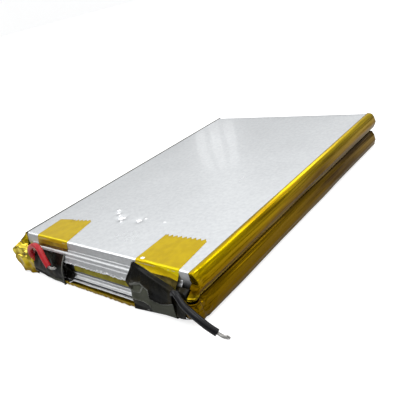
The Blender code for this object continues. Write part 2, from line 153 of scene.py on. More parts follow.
def place_floor():
    """A white sweep: a wide floor with a low rim. It glows, but lights nothing else."""
    mesh = bpy.data.meshes.new("floor")
    shape = bmesh.new()
    rings = []
    for radius, height in ((0.001, 0.0), (3.0, 0.0), (3.4, 0.1), (3.5, 0.7)):
        rings.append([shape.verts.new((radius * math.cos(a), radius * math.sin(a), height))
                      for a in (2 * math.pi * i / 48 for i in range(48))])
    shape.faces.new(rings[0])
    for inner, outer in zip(rings, rings[1:]):
        for i in range(48):
            k = (i + 1) % 48
            shape.faces.new((inner[i], inner[k], outer[k], outer[i]))
    shape.to_mesh(mesh)
    shape.free()
    floor = bpy.data.objects.new("floor", mesh)
    bpy.context.scene.collection.objects.link(floor)
    floor.location.z = -0.02 * MM
    white = principled("pale_floor", (0.55, 0.55, 0.55), 0.9, Specular_IOR_Level=0.1)
    tree = white.node_tree
    shader = tree.nodes["Principled BSDF"]
    shader.inputs["Emission Color"].default_value = (1, 1, 1, 1)
    seen = tree.nodes.new("ShaderNodeLightPath")
    glow = tree.nodes.new("ShaderNodeMath")
    glow.operation = "MULTIPLY"
    glow.inputs[1].default_value = 0.75
    tree.links.new(seen.outputs["Is Camera Ray"], glow.inputs[0])
    tree.links.new(glow.outputs[0], shader.inputs["Emission Strength"])
    mesh.materials.append(white)


# Material helpers


def principled(name, colour, roughness, metallic=0.0, **sockets):
    """A material with values set on its shader's sockets, named with _ for a space."""
    made = bpy.data.materials.new(name)
    made.use_nodes = True
    shader = made.node_tree.nodes["Principled BSDF"]
    shader.inputs["Base Color"].default_value = (*colour, 1.0)
    shader.inputs["Roughness"].default_value = roughness
    shader.inputs["Metallic"].default_value = metallic
    for socket, value in sockets.items():
        shader.inputs[socket.replace("_", " ")].default_value = value
    return made


def noise_node(tree, scale, detail=3.0, stretch=(1, 1, 1), seed=0.0):
    """Noise in object space, in cycles per metre, stretched along the axes given."""
    place = tree.nodes.new("ShaderNodeTexCoord")
    mapping = tree.nodes.new("ShaderNodeMapping")
    mapping.inputs["Scale"].default_value = stretch
    mapping.inputs["Location"].default_value = (seed, seed * 0.7, seed * 1.3)
    texture = tree.nodes.new("ShaderNodeTexNoise")
    texture.inputs["Scale"].default_value = scale
    texture.inputs["Detail"].default_value = detail
    tree.links.new(place.outputs["Object"], mapping.inputs["Vector"])
    tree.links.new(mapping.outputs["Vector"], texture.inputs["Vector"])
    return texture.outputs["Fac"]


def colour_by(made, source, stops):
    """Colours the material by a ramp over `source`; each stop is (position, colour)."""
    tree = made.node_tree
    ramp = tree.nodes.new("ShaderNodeValToRGB")
    tree.links.new(source, ramp.inputs["Fac"])
    elements = ramp.color_ramp.elements
    while len(elements) < len(stops):
        elements.new(0.5)
    for element, (position, colour) in zip(elements, stops):
        element.position = position
        element.color = (*colour, 1.0)
    tree.links.new(ramp.outputs["Color"], tree.nodes["Principled BSDF"].inputs["Base Color"])


def rough_by(made, source, low, high):
    """Spreads the roughness from `low` to `high` over `source`."""
    tree = made.node_tree
    spread = tree.nodes.new("ShaderNodeMapRange")
    spread.inputs["To Min"].default_value = low
    spread.inputs["To Max"].default_value = high
    tree.links.new(source, spread.inputs["Value"])
    tree.links.new(spread.outputs["Result"], tree.nodes["Principled BSDF"].inputs["Roughness"])


def bump_by(made, source, distance):
    """Adds a bump of `distance` metres for the whole range of `source`."""
    tree = made.node_tree
    normal = tree.nodes["Principled BSDF"].inputs["Normal"]
    bump = tree.nodes.new("ShaderNodeBump")
    bump.inputs["Distance"].default_value = distance
    tree.links.new(source, bump.inputs["Height"])
    if normal.is_linked:
        tree.links.new(normal.links[0].from_socket, bump.inputs["Normal"])
    tree.links.new(bump.outputs["Normal"], normal)


# Materials


def foil_material(name, brightness, roughness=0.30, coat=0.0):
    """Grey laminate with a fine grain."""
    made = principled(name, (brightness,) * 3, roughness, 0.95, Coat_Weight=coat,
                      Coat_Roughness=0.07)
    tree = made.node_tree
    low, high = 0.92 * brightness, 1.05 * brightness
    colour_by(made, noise_node(tree, 900, 5), [
        (0.3, (0.99 * low, low, 1.02 * low)), (0.7, (0.99 * high, high, 1.01 * high))])
    rough_by(made, noise_node(tree, 35, 3, seed=4.0), roughness - 0.06, roughness + 0.06)
    bump_by(made, noise_node(tree, 1500, 3, seed=2.0), 0.010 * MM)
    return made


def amber_material(name, bands, roughness, metallic, stretch, seed):
    """Polyimide film over foil: coloured in bands by height (in millimetres) and in streaks. On the
    edge tapes the bands are painted highlight and painted shade.
    """
    made = principled(name, bands[-1][1], roughness, metallic, Specular_IOR_Level=0.2)
    tree = made.node_tree
    place = tree.nodes.new("ShaderNodeTexCoord")
    split = tree.nodes.new("ShaderNodeSeparateXYZ")
    height = tree.nodes.new("ShaderNodeMapRange")
    height.inputs["From Max"].default_value = BAND_TOP * MM
    tree.links.new(place.outputs["Object"], split.inputs[0])
    tree.links.new(split.outputs["Z"], height.inputs["Value"])
    colour_by(made, height.outputs["Result"], [(z / BAND_TOP, colour) for z, colour in bands])
    base = tree.nodes["Principled BSDF"].inputs["Base Color"]
    streaks = tree.nodes.new("ShaderNodeValToRGB")
    tree.links.new(noise_node(tree, 330, 5, stretch, seed), streaks.inputs["Fac"])
    streaks.color_ramp.elements[0].position = 0.36
    streaks.color_ramp.elements[0].color = (0.36, 0.30, 0.26, 1)
    streaks.color_ramp.elements[1].position = 0.60
    streaks.color_ramp.elements[1].color = (1.1, 1.1, 1.1, 1)
    blend = tree.nodes.new("ShaderNodeMix")
    blend.data_type = "RGBA"
    blend.blend_type = "MULTIPLY"
    blend.inputs["Factor"].default_value = 1.0
    tree.links.new(base.links[0].from_socket, blend.inputs["A"])
    tree.links.new(streaks.outputs["Color"], blend.inputs["B"])
    tree.links.new(blend.outputs["Result"], base)
    bump_by(made, noise_node(tree, 900, 3, stretch, seed + 3), 0.035 * MM)
    return made


def speckled_amber(name, dark, bright, roughness, metallic, seed):
    """Amber film with fine specks between a dark and a bright colour."""
    made = principled(name, bright, roughness, metallic, Specular_IOR_Level=0.15)
    tree = made.node_tree
    colour_by(made, noise_node(tree, 420, 5, EVEN, seed), [(0.35, dark), (0.62, bright)])
    bump_by(made, noise_node(tree, 1500, 3, EVEN, seed + 3), 0.012 * MM)
    return made


def black_material(name, stops, roughness):
    """Black film, mottled by the colour stops."""
    made = principled(name, stops[0][1], roughness, 0.0, Specular_IOR_Level=0.1)
    tree = made.node_tree
    colour_by(made, noise_node(tree, 220, 4), stops)
    bump_by(made, noise_node(tree, 500, 3, seed=5.0), 0.04 * MM)
    return made


def plain_material(name, colour, roughness, metallic=0.0, grain=1500, depth=0.006, **more):
    """A material whose colour and height vary a little with its grain."""
    made = principled(name, colour, roughness, metallic, **more)
    speck = noise_node(made.node_tree, grain, 3)
    colour_by(made, speck, [(0.3, tuple(0.82 * c for c in colour)), (0.7, colour)])
    bump_by(made, speck, depth * MM)
    return made


ALONG = (1.0, 0.05, 1.0)
EVEN = (1.0, 1.0, 1.0)
BAND_TOP = 14.0
# Colours of the edge tapes by height in millimetres: painted highlight along the top edge, painted
# shade in the crease and in the valley between the cells, and a painted band of floor light under
# the upper bulge.
EDGE_LIGHT_AND_SHADE_BANDS = [
    (0.0, (0.32, 0.19, 0.001)), (3.0, (0.22, 0.12, 0.001)), (5.4, (0.28, 0.16, 0.001)),
    (6.5, (0.03, 0.016, 0.0005)), (7.4, (0.60, 0.43, 0.010)), (8.6, (0.22, 0.11, 0.0005)),
    (10.4, (0.42, 0.25, 0.0005)), (11.9, (0.60, 0.40, 0.0005)), (12.7, (0.76, 0.55, 0.001)),
    (13.2, (0.78, 0.56, 0.001)),
]
LOOSE_BANDS = [
    (0.0, (0.40, 0.25, 0.003)), (4.0, (0.66, 0.47, 0.006)), (8.0, (0.86, 0.70, 0.10)),
    (10.0, (0.72, 0.52, 0.01)), (13.2, (0.50, 0.34, 0.003)),
]
FOIL = foil_material("pouch_laminate", 0.88, coat=0.5)
# Painted shade: a darker copy of the laminate for the walls and the ledges.
FOIL_WALL_SHADED = foil_material("pouch_laminate_wall_painted_shade", 0.60, roughness=0.48)
# Painted shade: a dark copy of the laminate for the lower cell's front, under the upper cell.
FOIL_SHADE = foil_material("pouch_laminate_shade", 0.20)
# Near-black band on the lower ledge: painted shade in its pressed groove.
GROOVE_SHADOW = plain_material("seal_groove_painted_shade", (0.025, 0.025, 0.03), 0.5, 0.4)
SEAM_WHITE = plain_material("seam_edge", (0.86, 0.86, 0.88), 0.4, 0.3, grain=900, depth=0.03)
# Painted glint: pale foil that glows a little by itself, for the middle of the dents and a fleck on
# the right tape.
GLINT = plain_material("painted_glint_foil", (0.95, 0.95, 0.96), 0.5, grain=900, depth=0.03,
                       Emission_Color=(1, 1, 1, 1), Emission_Strength=0.35)
EDGE_AMBER = amber_material("edge_tape", EDGE_LIGHT_AND_SHADE_BANDS, 0.26, 1.0, ALONG, 1.0)
LOOSE_AMBER = amber_material("loose_tape", LOOSE_BANDS, 0.15, 0.95, EVEN, 4.0)
TOP_AMBER = speckled_amber("front_tape", (0.60, 0.41, 0.0006), (0.68, 0.48, 0.0008), 0.34, 0.55,
                           7.0)
# Painted highlight along the fold over the front edge.
FOLD_HIGHLIGHT_AMBER = speckled_amber("front_tape_fold_painted_highlight", (0.78, 0.62, 0.002), (0.90, 0.74, 0.004), 0.3,
                            0.4, 7.5)
# Darker amber: painted shade on the left tape's face down the front, and the colour of the strip
# along the lower cell's foot.
FRONT_AMBER = speckled_amber("front_tape_face_painted_shade_and_foot_strip", (0.30, 0.18, 0.001), (0.44, 0.29, 0.001), 0.3,
                             0.4, 8.5)
# Near-black amber: tape over the black film, and a painted dark line of shade on the left tapes'
# lip.
OLIVE_AMBER = speckled_amber("tape_over_black_and_edge_shade", (0.030, 0.022, 0.002), (0.085, 0.06, 0.004),
                             0.25, 0.3, 8.0)
KHAKI_AMBER = speckled_amber("tape_edge_over_black", (0.13, 0.11, 0.012), (0.26, 0.22, 0.03),
                             0.3, 0.3, 9.0)
BROWN_AMBER = speckled_amber("tape_over_brown", (0.07, 0.032, 0.001), (0.20, 0.10, 0.001), 0.3,
                             0.3, 10.0)
# Yellow tape darkened to khaki: painted shade in the recess under the upper cell.
RECESS_SHADED_AMBER = speckled_amber("tape_in_recess_painted_shade", (0.24, 0.20, 0.012), (0.36, 0.31, 0.02), 0.4,
                              0.2, 11.0)
BLACK_TAPE = black_material("black_tape", [
    (0.35, (0.003, 0.003, 0.003)), (0.55, (0.008, 0.0075, 0.005)), (0.75, (0.030, 0.022, 0.006))],
    0.22)
# Grey-olive black tape: painted reflection of the floor on the smoother parts of the patches.
GREY_REFLECTION_TAPE = black_material("black_tape_painted_reflection", [
    (0.35, (0.050, 0.053, 0.038)), (0.7, (0.085, 0.088, 0.066))], 0.4)
# Light grey on the black tape: painted highlight along the creases and blister edges.
CREASE_HIGHLIGHT_TAPE = black_material("black_tape_crease_painted_highlight", [
    (0.3, (0.05, 0.05, 0.045)), (0.7, (0.22, 0.22, 0.20))], 0.3)
ALUMINIUM = plain_material("tab_aluminium", (0.80, 0.81, 0.82), 0.3, 1.0)
NICKEL = plain_material("tab_nickel", (0.66, 0.65, 0.62), 0.3, 1.0)
SEALANT = plain_material("tab_sealant", (0.75, 0.75, 0.70), 0.5)
CATHODE = plain_material("cathode_coating", (0.05, 0.05, 0.05), 0.8)
ANODE = plain_material("anode_coating", (0.09, 0.08, 0.08), 0.8)
SEPARATOR = plain_material("separator_film", (0.85, 0.85, 0.83), 0.6)
STACK_TAPE = plain_material("stack_tape", (0.10, 0.35, 0.20), 0.4)
ADHESIVE = plain_material("adhesive", (0.80, 0.80, 0.76), 0.7)
SOLDER = plain_material("solder", (0.72, 0.72, 0.70), 0.2, 1.0, grain=900, depth=0.03)
TINNED = plain_material("tinned_copper", (0.62, 0.60, 0.58), 0.28, 1.0)
RED_PVC = plain_material("red_insulation", (0.56, 0.014, 0.022), 0.27, grain=700, depth=0.02,
                         Specular_IOR_Level=0.35)
BLACK_PVC = plain_material("black_insulation", (0.004, 0.004, 0.006), 0.26, grain=700,
                           depth=0.02, Specular_IOR_Level=0.3)


# Mesh helpers. Lengths are in millimetres up to the point where a mesh is made.


def add_piece(name, data, finish, slot, *replaced):
    """A piece of the object: linked, given its material and riding on the one body."""
    obj = bpy.data.objects.new(name, data)
    bpy.context.scene.collection.objects.link(obj)
    if finish:
        data.materials.append(finish)
    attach(obj, "root")
    if replaced:
        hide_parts(*replaced)
    return obj


def film(name, rows, finish, slot, *replaced, thickness=0.1, offset=0.0):
    """A thin sheet over rows of points, given a thickness so that it is closed."""
    columns = len(rows[0])
    points = [tuple(c * MM for c in p) for row in rows for p in row]
    faces = []
    for r in range(len(rows) - 1):
        for c in range(columns - 1):
            a = r * columns + c
            faces.append((a, a + 1, a + columns + 1, a + columns))
    mesh = bpy.data.meshes.new(name)
    mesh.from_pydata(points, [], faces)
    mesh.shade_smooth()
    obj = add_piece(name, mesh, finish, slot, *replaced)
    skin = obj.modifiers.new("thickness", "SOLIDIFY")
    skin.thickness = thickness * MM
    skin.offset = offset
    return obj


def ripple(u, v, seed, octaves=2):
    """Smooth noise of about -1 to 1 over two coordinates."""
    total, weight = 0.0, 1.0
    for i in range(octaves):
        total += weight * noise.noise(Vector((u * 2 ** i, v * 2 ** i, seed + 9.7 * i)))
        weight *= 0.5
    return total


def crease(u, v, seed):
    """Noise with sharp ridges, as in crumpled film: 0 to 1, with 1 on a ridge."""
    return 1.0 - min(1.0, 3.0 * abs(noise.noise(Vector((u, v, seed)))))


def smoothstep(low, high, value):
    """0 at `low` and 1 at `high`, with a soft start and end."""
    t = min(1.0, max(0.0, (value - low) / (high - low)))
    return t * t * (3 - 2 * t)


def mix(a, b, share):
    """The value a share of the way from `a` to `b`."""
    return a + (b - a) * share


def table(pairs, at):
    """Linear interpolation in (place, value) pairs with rising places."""
    if at <= pairs[0][0]:
        return pairs[0][1]
    for (a, va), (b, vb) in zip(pairs, pairs[1:]):
        if at <= b:
            return mix(va, vb, (at - a) / (b - a))
    return pairs[-1][1]


def smooth_line(points, count):
    """`count` evenly spaced points on a Catmull-Rom curve through the given points."""
    given = [Vector(p) for p in points]
    ends = [2 * given[0] - given[1], *given, 2 * given[-1] - given[-2]]
    fine = []
    for a, b, c, d in zip(ends, ends[1:], ends[2:], ends[3:]):
        for i in range(16):
            t = i / 16
            fine.append(0.5 * (2 * b + (c - a) * t + (2 * a - 5 * b + 4 * c - d) * t * t
                               + (3 * b - a - 3 * c + d) * t ** 3))
    fine.append(given[-1])
    travelled = [0.0]
    for p, q in zip(fine, fine[1:]):
        travelled.append(travelled[-1] + (q - p).length)
    picked, at = [], 0
    for i in range(count):
        wanted = travelled[-1] * i / (count - 1)
        while at < len(fine) - 2 and travelled[at + 1] < wanted:
            at += 1
        share = (wanted - travelled[at]) / (travelled[at + 1] - travelled[at])
        picked.append(fine[at].lerp(fine[at + 1], min(1.0, max(0.0, share))))
    return picked


# Leads


RED_ROUTE = [
    (-22.0, -56.9, 4.6), (-27.2, -56.75, 4.3), (-30.2, -56.6, 4.8), (-31.9, -56.6, 6.2),
    (-32.1, -56.8, 8.1), (-30.6, -57.1, 10.1), (-27.9, -57.3, 11.5), (-25.2, -57.5, 12.1),
    (-23.1, -57.9, 11.2), (-21.2, -58.6, 9.0), (-19.4, -59.05, 6.65),
]
BLACK_ROUTE = [
    (22.2, -56.9, 4.6), (24.4, -56.85, 3.8), (27.2, -56.78, 3.8), (29.5, -56.82, 5.3),
    (31.1, -56.75, 7.35), (32.9, -57.1, 8.95), (34.5, -57.7, 8.7), (36.4, -58.4, 7.4),
    (39.1, -59.0, 6.15), (41.2, -59.1, 4.95), (43.1, -58.9, 3.5), (44.9, -58.4, 2.0),
]
RED_TIP = [(-19.5, -59.1, 6.7), (-18.3, -59.0, 6.1), (-17.2, -58.9, 6.3), (-16.1, -58.8, 6.75)]
BLACK_TIP = [(44.8, -58.4, 2.1), (45.9, -58.1, 1.2), (46.8, -57.9, 1.0), (47.7, -57.8, 1.25)]
LEAD_RADIUS = 0.925
STRAND_RADIUS = 0.14
STRANDS = 7


def tube(name, lines, radius, finish, slot, *replaced, sides=6):
    """Round wires, one spline for each line of points."""
    curve = bpy.data.curves.new(name, "CURVE")
    curve.dimensions = "3D"
    curve.bevel_depth = radius * MM
    curve.bevel_resolution = sides
    curve.use_fill_caps = True
    for line in lines:
        spline = curve.splines.new("POLY")
        spline.points.add(len(line) - 1)
        for point, place in zip(spline.points, line):
            point.co = (*(Vector(place) * MM), 1.0)
        spline.use_smooth = True
    return add_piece(name, curve, finish, slot, *replaced)


def strand_bundle(name, route, fray, replaced):
    """Tinned strands twisted round a route, a little apart at the free end."""
    line = smooth_line(route, 36)
    lines = []
    for strand in range(STRANDS):
        centre = strand == 0
        around = []
        for i, place in enumerate(line):
            share = i / (len(line) - 1)
            tangent = (line[min(i + 1, len(line) - 1)] - line[max(i - 1, 0)]).normalized()
            side = tangent.cross(Vector((0, 0, 1))).normalized()
            up = side.cross(tangent)
            angle = 2 * math.pi * strand / (STRANDS - 1) + 7.5 * share
            reach = 0.0 if centre else 0.27 + fray * share ** 3 * (0.4 + 0.6 * (strand % 3) / 2)
            end_cut = place + reach * (math.cos(angle) * side + math.sin(angle) * up)
            around.append(end_cut)
        around = around[:len(around) - 2 * (strand % 3)]
        lines.append(around)
    return tube(name, lines, STRAND_RADIUS, TINNED, "tinned_copper", replaced, sides=2)


def leads():
    """The two leads: an insulated sleeve with bare strands at its end."""
    red_tip = strand_bundle("red_strands", RED_TIP, 0.1, "red_lead_tinned_tip")
    black_tip = strand_bundle("black_strands", BLACK_TIP, 0.25, "black_lead_tinned_tip")
    red = tube("red_lead_sleeve", [smooth_line(RED_ROUTE, 90)], LEAD_RADIUS, RED_PVC,
               "red_insulation", "red_lead")
    black = tube("black_lead_sleeve", [smooth_line(BLACK_ROUTE, 90)], LEAD_RADIUS, BLACK_PVC,
                 "black_insulation", "black_lead")


# Pouches

# Place along X and Y, radius and height of each dent
DENTS = [
    (-6.3, -36.7, 1.7, -0.20), (-4.6, -38.6, 0.8, 0.12), (-8.6, -35.6, 0.8, 0.12),
    (-10.4, -34.4, 0.9, -0.12), (-12.0, -33.0, 0.8, 0.10), (1.4, -36.4, 1.5, -0.18),
    (2.9, -35.0, 0.7, 0.08), (11.2, -35.3, 0.6, 0.08), (33.9, -41.4, 0.9, 0.05),
]


def face_height(cell, x, y):
    """The top face of a cell: slightly wavy foil with a few small dents near the tab end."""
    lines = CELLS[cell]
    inside = min(CUP_HALF_WIDTH - abs(x), y - lines["wall_top"], lines["rear"] - y)
    height = 0.07 * ripple(x * 0.045, y * 0.045, 3.0) + 0.012 * ripple(x * 0.3, y * 0.3, 5.0)
    for dent_x, dent_y, radius, depth in DENTS:
        reach = ((x - dent_x) ** 2 + (y - dent_y) ** 2) / radius ** 2
        if reach < 9:
            height += depth * math.exp(-reach)
    return lines["top"] + smoothstep(0.0, 4.0, inside) * height


def in_painted_glint(place):
    """True in the middle of a dent, where a glint is painted."""
    wave = 0.62 + 0.5 * noise.noise(place * 1.7)
    return any(math.hypot(place.x - x, place.y - y) < r * wave for x, y, r, _ in DENTS)


# The grid's spacing and rear end, and the stretches across and along that hold the dents
GRID_STEP = 1.3
FINE_STEP = 0.35
GRID_REAR = 58
DENTS_ACROSS = (-15, 13)
DENTS_ALONG = (-43, -29)


def drawn_box(lines):
    """A closed box on the cell's side outline, with rounded corners and top edges."""
    rim = lines["base"] + RIM_HEIGHT
    half = CUP_HALF_WIDTH
    outline = [(lines["rear"], rim), (lines["rear"] - 0.5, lines["top"]),
               (lines["wall_top"], lines["top"]), (lines["knee"], lines["knee_height"]),
               (lines["knee"] + 0.1, rim)]
    shape = bmesh.new()
    face = shape.faces.new([shape.verts.new((-half, y, z)) for y, z in outline])
    grown = bmesh.ops.extrude_face_region(shape, geom=[face])
    moved = [v for v in grown["geom"] if isinstance(v, bmesh.types.BMVert)]
    bmesh.ops.translate(shape, verts=moved, vec=(2 * half, 0, 0))
    bmesh.ops.recalc_face_normals(shape, faces=shape.faces)
    corners = [e for e in shape.edges
               if abs(e.verts[0].co.x - e.verts[1].co.x) < 1
               and abs(e.verts[0].co.z - e.verts[1].co.z) > 1]
    bmesh.ops.bevel(shape, geom=corners, offset=0.9, segments=4, profile=0.5, affect="EDGES")
    top_edges = [e for e in shape.edges if all(v.co.z > lines["top"] - 0.01 for v in e.verts)
                 and len({round(f.normal.z, 1) for f in e.link_faces}) > 1]
    bmesh.ops.bevel(shape, geom=top_edges, offset=0.7, segments=5, profile=0.5, affect="EDGES")
    return shape


def cut_grid(shape, cell):
    """Cuts the shell into a grid that can bend, finer round the upper cell's dents."""
    half = CUP_HALF_WIDTH
    spans = ((0, -half, half, DENTS_ACROSS), (1, CELLS[cell]["knee"], GRID_REAR, DENTS_ALONG))
    for axis, start, end, fine in spans:
        place = start + GRID_STEP
        while place < end - GRID_STEP / 2:
            at, normal = [0.0, 0.0, 0.0], [0.0, 0.0, 0.0]
            at[axis], normal[axis] = place, 1.0
            geometry = shape.verts[:] + shape.edges[:] + shape.faces[:]
            bmesh.ops.bisect_plane(shape, geom=geometry, plane_co=at, plane_no=normal)
            place += FINE_STEP if fine[0] < place < fine[1] and cell == "upper_cell" else GRID_STEP


def cup(cell):
    """The drawn shell: face, rounded edges and walls down to the rim, open underneath."""
    lines = CELLS[cell]
    shape = drawn_box(lines)
    bottom = [f for f in shape.faces if f.normal.z < -0.9]
    bmesh.ops.delete(shape, geom=bottom, context="FACES_ONLY")
    cut_grid(shape, cell)
    for v in shape.verts:
        x, y, z = v.co
        if z > lines["top"] - 0.05:
            v.co.z += face_height(cell, x, y) - lines["top"]
        elif y < lines["wall_top"] + 0.3 and z < lines["top"] - 0.6:
            v.co.y += 0.05 * ripple(x * 0.25, z * 0.4, 6.0)
    bmesh.ops.scale(shape, vec=(MM, MM, MM), verts=shape.verts)
    mesh = bpy.data.meshes.new(f"{cell}_pouch")
    shape.to_mesh(mesh)
    shape.free()
    mesh.shade_smooth()
    mesh.set_sharp_from_angle(angle=math.radians(45))
    obj = add_piece(f"{cell}_pouch", mesh, FOIL, "pouch_laminate", f"{cell}_pouch_cup")
    mesh.materials.append(FOIL_WALL_SHADED)
    mesh.materials.append(GLINT)
    mesh.materials.append(FOIL_SHADE)
    for face in mesh.polygons:
        # The lower cell's front wall and the strip near the front take the dark laminate: painted
        # shade.
        if cell == "lower_cell" and (face.normal.y < -0.5 or face.center.y < (FRONT + 8) * MM):
            face.material_index = 3
        # Faces that do not face up take the darker copy of the laminate: painted shade.
        elif face.normal.z < 0.5:
            face.material_index = 1
        # The middle of each dent takes the glowing pale foil: painted glint.
        elif cell == "upper_cell" and in_painted_glint(face.center / MM):
            face.material_index = 2
    skin = obj.modifiers.new("thickness", "SOLIDIFY")
    skin.thickness = 0.15 * MM
    skin.offset = -1.0


# The ledge at the tab end of each cell as (place along Y from the knee, height from it)
LEDGES = {
    "upper_cell": [(0.0, 0.0), (-0.25, -0.35), (-0.65, -0.65), (-0.95, -1.25), (-1.25, -1.55),
                   (-1.5, -2.2), (-1.75, -2.7), (-1.95, -3.2)],
    "lower_cell": [(0.0, 0.0), (-0.15, -0.4), (-0.55, -0.62), (-0.95, -0.75), (-1.1, -1.05),
                   (-1.2, -1.2), (-1.5, -1.25), (-1.65, -1.3), (-1.7, -1.55)],
}


def terrace(cell):
    """The sealed ledge at the tab end: pressed lines, and a rough cut edge."""
    lines = CELLS[cell]
    seed = 11.0 if cell == "upper_cell" else 17.0
    rough = 0.35 if cell == "upper_cell" else 0.12
    profile = smooth_line([(y, z, 0) for y, z in LEDGES[cell]], 30)
    rows, columns = [], 300
    for r, (dy, dz, _) in enumerate(profile):
        share = r / (len(profile) - 1)
        row = []
        for c in range(columns + 1):
            x = mix(-CUP_HALF_WIDTH + 3.5, CUP_HALF_WIDTH - 3.3, c / columns)
            wave = 0.06 * ripple(x * 0.15, 0.0, seed + 2) * share
            frill = smoothstep(0.6, 1.0, share) * ripple(x * 1.1, share * 4, seed + 4)
            torn = smoothstep(0.75, 1.0, share) * crease(x * 0.9, 2.0, seed)
            y = lines["knee"] + dy - 0.04 + wave - 0.5 * rough * frill
            z = lines["knee_height"] + dz + wave + rough * frill * 0.4 + rough * torn
            row.append((x, y, z))
        rows.append(row)
    rows.insert(0, [(x, y + 0.1, z + 0.45) for x, y, z in rows[0]])
    obj = film(f"{cell}_terrace", rows, FOIL_WALL_SHADED, "pouch_laminate", f"{cell}_pouch_cup",
               thickness=0.15)
    obj.data.materials.append(SEAM_WHITE)
    obj.data.materials.append(GROOVE_SHADOW)
    for face in obj.data.polygons:
        row = face.index // columns
        if row >= len(rows) - 4:
            face.material_index = 1
        # A band across the lower ledge takes the near-black groove colour: painted shade.
        elif cell == "lower_cell" and 0.50 < row / len(rows) < 0.68:
            face.material_index = 2


def seal_fold(cell, side, word):
    """The folded side seal under the edge tape."""
    lines = CELLS[cell]
    foot = lines["base"] + 0.31
    fold = CUP_HALF_WIDTH + 0.65
    section = [(CUP_HALF_WIDTH - 0.1, foot), (fold - 0.4, foot), (fold - 0.1, foot + 0.25),
               (fold, foot + 0.7), (fold + 0.2, lines["base"] + 4.4)]
    rows = []
    for i in range(61):
        y = mix(FRONT + 5.2, lines["rear"] - 0.6, i / 60)
        rows.append([(side * (x + 0.03 * ripple(y * 0.1, z * 0.3, 21.0)), y, z)
                     for x, z in section])
    film(f"{cell}_{word}_seal_fold", rows, FOIL, "pouch_laminate", f"{cell}_pouch_cup",
         thickness=0.15)


def cover(cell):
    """The flat laminate that closes the cup from below."""
    lines = CELLS[cell]
    half, level = CUP_HALF_WIDTH + 0.3, lines["base"] + 0.15
    rows = []
    for i in range(31):
        y = mix(FRONT + 4.2, lines["rear"] - 0.2, i / 30)
        rows.append([(mix(-half, half, c / 20), y, level + 0.03 * ripple(c * 0.4, y * 0.1, 23.0))
                     for c in range(21)])
    film(f"{cell}_cover_sheet", rows, FOIL, "pouch_laminate", f"{cell}_pouch_cover",
         thickness=0.15)


def sealant_strips():
    """The milky strips that seal the lower cell's tabs, under the black tapes."""
    for word, low_x, high_x in (("positive", -22.3, -15.7), ("negative", 16.0, 22.6)):
        rows = [[(mix(low_x, high_x, c / 8), y, 0.58) for c in range(9)]
                for y in (-57.1, -56.8, -56.5, -56.2)]
        film(f"lower_cell_{word}_sealant_strip", rows, SEALANT, "tab_sealant",
             f"lower_cell_{word}_tab_sealant", thickness=0.3)


# Edge tapes

# Section from the top face round the seal to the underside: how far out of the cup's wall,
# and the share of the height below the top
EDGE_SECTION = [
    (-0.9, 0.0), (-0.3, 0.0), (0.25, 0.03), (0.75, 0.12), (1.25, 0.27), (1.6, 0.45),
    (1.78, 0.60), (1.66, 0.68), (1.42, 0.80), (1.12, 0.90), (0.6, 0.975), (-0.2, 1.0),
    (-2.9, 1.0),
]
SECTION_STEPS = 56

# How the tab end of the tape closes, by height: places of the middle and the end of its fold
RIGHT_FOLD = {
    "middle": [(0, (38.2, -54.8)), (1.5, (39.0, -56.0)), (3.5, (39.8, -57.0)), (7.5, (39.0, -55.6)),
               (10, (38.6, -54.0)), (13, (38.5, -53.8))],
    "end": [(0, (34.6, -55.4)), (1.5, (34.5, -56.8)), (3.5, (34.6, -57.6)), (6.5, (35.2, -57.2)),
            (8.5, (35.9, -55.6)), (10, (36.1, -54.0)), (13, (36.1, -53.75))],
}
LEFT_FOLD = {
    "middle": [(0, (45.0, -60.0)), (4.0, (47.5, -60.0)), (8.0, (50.5, -59.8)),
               (10, (46.5, -58.6)), (12, (41.0, -55.6)), (13, (38.4, -54.2))],
    "end": [(0, (31.4, -57.6)), (6.0, (31.0, -57.3)), (8.0, (31.2, -56.6)), (10, (33.5, -55.0)),
            (13, (36.9, -54.4))],
}


def plan(fold, key, z):
    """The point that the fold passes or ends in at height z, from its list of heights."""
    stops = fold[key]
    return (table([(height, place[0]) for height, place in stops], z),
            table([(height, place[1]) for height, place in stops], z))


def length_steps(count=150):
    """Shares of the length from the front, closer together near both ends."""
    return [i / count - 0.13 * math.sin(2 * math.pi * i / count) for i in range(count + 1)]


def edge_section(cell, lip):
    """Points round the tape's section, each with its outward direction and its share."""
    lines = CELLS[cell]
    over, under = lines["top"] + 0.06, lines["base"] - 0.1
    points = smooth_line([(CUP_HALF_WIDTH + max(out, lip), mix(over, under, drop), 0)
                          for out, drop in EDGE_SECTION[:-1]] + [(CUP_HALF_WIDTH - 2.9, under, 0)],
                         SECTION_STEPS)
    section = []
    for i, point in enumerate(points):
        run = points[min(i + 1, SECTION_STEPS - 1)] - points[max(i - 1, 0)]
        outward = Vector((-run.y, run.x)).normalized()
        section.append((point.x, point.y, outward, i / (SECTION_STEPS - 1)))
    return section


def edge_swell(share, y, near, seed, crumple):
    """Lengthwise streaks and folds of the tape, with finer creases near the tab end."""
    held = smoothstep(0.03, 0.12, share) * (1 - smoothstep(0.80, 0.9, share))
    swell = 0.10 * ripple(share * 9, y * 0.03, seed) + 0.10 * crease(share * 12, y * 0.018, seed + 1)
    swell += 0.16 * ripple(share * 2, y * 0.035, seed + 2)
    swell += 0.10 * math.exp(-near / 12) * crease(share * 17, y * 0.07, seed + 5)
    swell += 0.30 * crumple * math.exp(-near / 3) * crease(share * 6, y * 0.35, seed + 3)
    return held * swell, held


